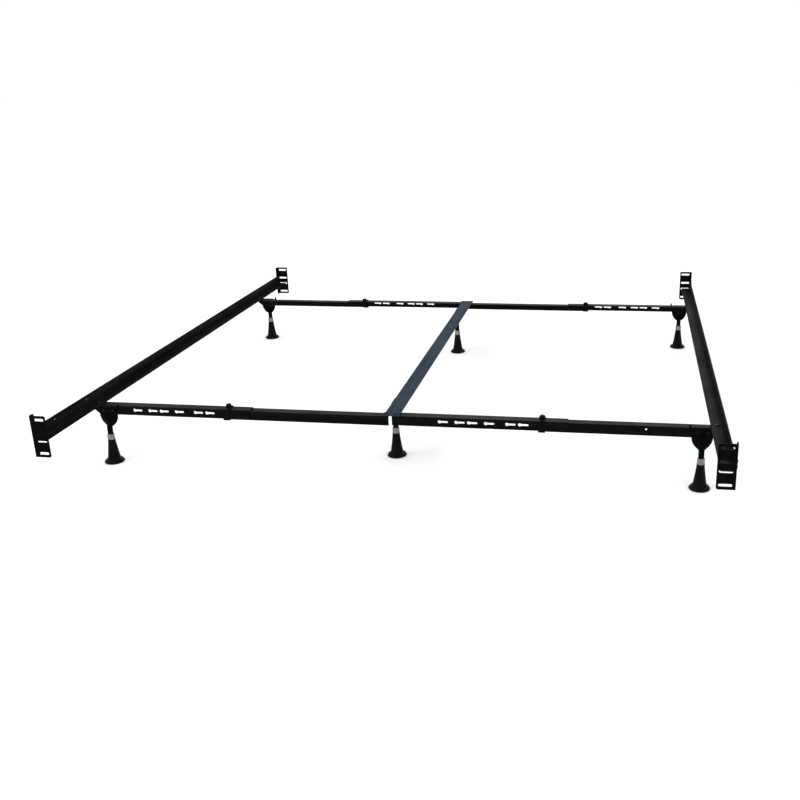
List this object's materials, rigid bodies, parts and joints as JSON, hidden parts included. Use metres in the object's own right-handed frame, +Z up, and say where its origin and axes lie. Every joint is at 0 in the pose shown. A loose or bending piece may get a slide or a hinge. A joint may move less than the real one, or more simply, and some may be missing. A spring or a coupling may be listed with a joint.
{
  "type": "metal bed frame",
  "caption": "Adjustable steel bed frame: angle side rails on telescoping cross arms with a centre support rail, legs with glides and slotted head and foot plates.",
  "frame": {"origin": "middle of the frame at floor level", "axes": "+X to the right side rail seen from the foot, +Y to the head, +Z up"},
  "size_m": [1.9676, 2.058, 0.2655],
  "materials": {
    "frame_paint": "semi-gloss black powder coat",
    "centre_rail_paint": "satin blue-grey powder coat",
    "rivet_paint": "black painted rivet",
    "knob_plastic": "black moulded plastic",
    "glide_plastic": "black-brown moulded plastic",
    "sleeve_plastic": "cream moulded plastic",
    "stem_steel": "bright zinc"
  },
  "bodies": {
    "centre": {"centre_rail": "centre_rail_paint", "centre_rivets": "rivet_paint", "leg_bracket_front_centre": "frame_paint", "leg_bracket_back_centre": "frame_paint", "leg_rivets_centre": "rivet_paint", "stem_front_centre": "stem_steel", "stem_back_centre": "stem_steel", "sleeve_front_centre": "sleeve_plastic", "sleeve_back_centre": "sleeve_plastic"},
    "inner_arm_front_right": {"arm_front_right_inner": "frame_paint"},
    "outer_arm_front_right": {"arm_front_right_outer": "frame_paint", "leg_bracket_front_right": "frame_paint", "leg_rivets_front_right": "rivet_paint", "stem_front_right": "stem_steel", "sleeve_front_right": "sleeve_plastic", "collar_front_right": "frame_paint"},
    "glide_front_right": {"glide_front_right": "glide_plastic"},
    "lock_knob_front_right": {"lock_knob_front_right": "knob_plastic"},
    "inner_arm_back_right": {"arm_back_right_inner": "frame_paint", "collar_back_right": "frame_paint"},
    "outer_arm_back_right": {"arm_back_right_outer": "frame_paint", "leg_bracket_back_right": "frame_paint", "leg_rivets_back_right": "rivet_paint", "stem_back_right": "stem_steel", "sleeve_back_right": "sleeve_plastic"},
    "glide_back_right": {"glide_back_right": "glide_plastic"},
    "lock_knob_back_right": {"lock_knob_back_right": "knob_plastic"},
    "side_rail_right": {"side_rail_right": "frame_paint", "bracket_front_right": "frame_paint", "bracket_back_right": "frame_paint", "bracket_rivets_right": "rivet_paint", "pivot_rivets_right": "rivet_paint"},
    "inner_arm_front_left": {"arm_front_left_inner": "frame_paint", "collar_front_left": "frame_paint"},
    "outer_arm_front_left": {"arm_front_left_outer": "frame_paint", "leg_bracket_front_left": "frame_paint", "leg_rivets_front_left": "rivet_paint", "stem_front_left": "stem_steel", "sleeve_front_left": "sleeve_plastic"},
    "glide_front_left": {"glide_front_left": "glide_plastic"},
    "lock_knob_front_left": {"lock_knob_front_left": "knob_plastic"},
    "inner_arm_back_left": {"arm_back_left_inner": "frame_paint"},
    "outer_arm_back_left": {"arm_back_left_outer": "frame_paint", "leg_bracket_back_left": "frame_paint", "leg_rivets_back_left": "rivet_paint", "stem_back_left": "stem_steel", "sleeve_back_left": "sleeve_plastic", "collar_back_left": "frame_paint"},
    "glide_back_left": {"glide_back_left": "glide_plastic"},
    "lock_knob_back_left": {"lock_knob_back_left": "knob_plastic"},
    "side_rail_left": {"side_rail_left": "frame_paint", "bracket_front_left": "frame_paint", "bracket_back_left": "frame_paint", "bracket_rivets_left": "rivet_paint", "pivot_rivets_left": "rivet_paint"},
    "glide_front_centre": {"glide_front_centre": "glide_plastic"},
    "glide_back_centre": {"glide_back_centre": "glide_plastic"}
  },
  "joints": [
    {"name": "right_fold", "type": "hinge", "parent": "centre", "child": "inner_arm_front_right", "pos_m": [0.014, -0.705, 0.186], "axis": [0, 0, 1], "range_deg": [0, 60]},
    {"name": "right_width", "type": "slide", "parent": "inner_arm_front_right", "child": "outer_arm_front_right", "axis": [1, 0, 0], "range_m": [-0.2032, 0]},
    {"name": "right_rail_pivot", "type": "hinge", "parent": "outer_arm_front_right", "child": "side_rail_right", "pos_m": [0.959, -0.705, 0.189], "axis": [0, 0, 1], "range_deg": [-60, 0]},
    {"name": "right_back_outer_pivot", "type": "hinge", "parent": "side_rail_right", "child": "outer_arm_back_right", "pos_m": [0.959, 0.705, 0.189], "axis": [0, 0, 1], "range_deg": [0, 60]},
    {"name": "right_back_inner_pivot", "type": "hinge", "parent": "centre", "child": "inner_arm_back_right", "pos_m": [0.014, 0.705, 0.186], "axis": [0, 0, 1], "range_deg": [0, 60]},
    {"name": "glide_front_right_swivel", "type": "hinge", "parent": "outer_arm_front_right", "child": "glide_front_right", "pos_m": [0.9175, -0.7249, 0.03], "axis": [0, 0, 1], "continuous": true},
    {"name": "lock_knob_front_right_turn", "type": "hinge", "parent": "outer_arm_front_right", "child": "lock_knob_front_right", "pos_m": [0.4575, -0.695, 0.19], "axis": [0, 0, 1], "range_deg": [0, 90]},
    {"name": "glide_back_right_swivel", "type": "hinge", "parent": "outer_arm_back_right", "child": "glide_back_right", "pos_m": [0.9175, 0.728, 0.03], "axis": [0, 0, 1], "continuous": true},
    {"name": "lock_knob_back_right_turn", "type": "hinge", "parent": "inner_arm_back_right", "child": "lock_knob_back_right", "pos_m": [0.522, 0.695, 0.19], "axis": [0, 0, 1], "range_deg": [0, 90]},
    {"name": "left_fold", "type": "hinge", "parent": "centre", "child": "inner_arm_back_left", "pos_m": [-0.014, 0.705, 0.186], "axis": [0, 0, 1], "range_deg": [0, 60]},
    {"name": "left_width", "type": "slide", "parent": "inner_arm_back_left", "child": "outer_arm_back_left", "axis": [-1, 0, 0], "range_m": [-0.2032, 0]},
    {"name": "left_rail_pivot", "type": "hinge", "parent": "outer_arm_back_left", "child": "side_rail_left", "pos_m": [-0.959, 0.705, 0.189], "axis": [0, 0, 1], "range_deg": [-60, 0]},
    {"name": "left_front_outer_pivot", "type": "hinge", "parent": "side_rail_left", "child": "outer_arm_front_left", "pos_m": [-0.959, -0.705, 0.189], "axis": [0, 0, 1], "range_deg": [0, 60]},
    {"name": "left_front_inner_pivot", "type": "hinge", "parent": "centre", "child": "inner_arm_front_left", "pos_m": [-0.014, -0.705, 0.186], "axis": [0, 0, 1], "range_deg": [0, 60]},
    {"name": "glide_front_left_swivel", "type": "hinge", "parent": "outer_arm_front_left", "child": "glide_front_left", "pos_m": [-0.9175, -0.728, 0.03], "axis": [0, 0, 1], "continuous": true},
    {"name": "lock_knob_front_left_turn", "type": "hinge", "parent": "inner_arm_front_left", "child": "lock_knob_front_left", "pos_m": [-0.522, -0.695, 0.19], "axis": [0, 0, 1], "range_deg": [0, 90]},
    {"name": "glide_back_left_swivel", "type": "hinge", "parent": "outer_arm_back_left", "child": "glide_back_left", "pos_m": [-0.9175, 0.7249, 0.03], "axis": [0, 0, 1], "continuous": true},
    {"name": "lock_knob_back_left_turn", "type": "hinge", "parent": "outer_arm_back_left", "child": "lock_knob_back_left", "pos_m": [-0.4575, 0.695, 0.19], "axis": [0, 0, 1], "range_deg": [0, 90]},
    {"name": "glide_front_centre_swivel", "type": "hinge", "parent": "centre", "child": "glide_front_centre", "pos_m": [-0.019, -0.577, 0.03], "axis": [0, 0, 1], "continuous": true},
    {"name": "glide_back_centre_swivel", "type": "hinge", "parent": "centre", "child": "glide_back_centre", "pos_m": [-0.019, 0.577, 0.03], "axis": [0, 0, 1], "continuous": true}
  ],
  "couplings": [
    {"joint": "right_rail_pivot", "follows": "right_fold", "ratio": -1},
    {"joint": "right_back_outer_pivot", "follows": "right_fold", "ratio": 1},
    {"joint": "right_back_inner_pivot", "follows": "right_fold", "ratio": 1},
    {"joint": "left_rail_pivot", "follows": "left_fold", "ratio": -1},
    {"joint": "left_front_outer_pivot", "follows": "left_fold", "ratio": 1},
    {"joint": "left_front_inner_pivot", "follows": "left_fold", "ratio": 1}
  ]
}
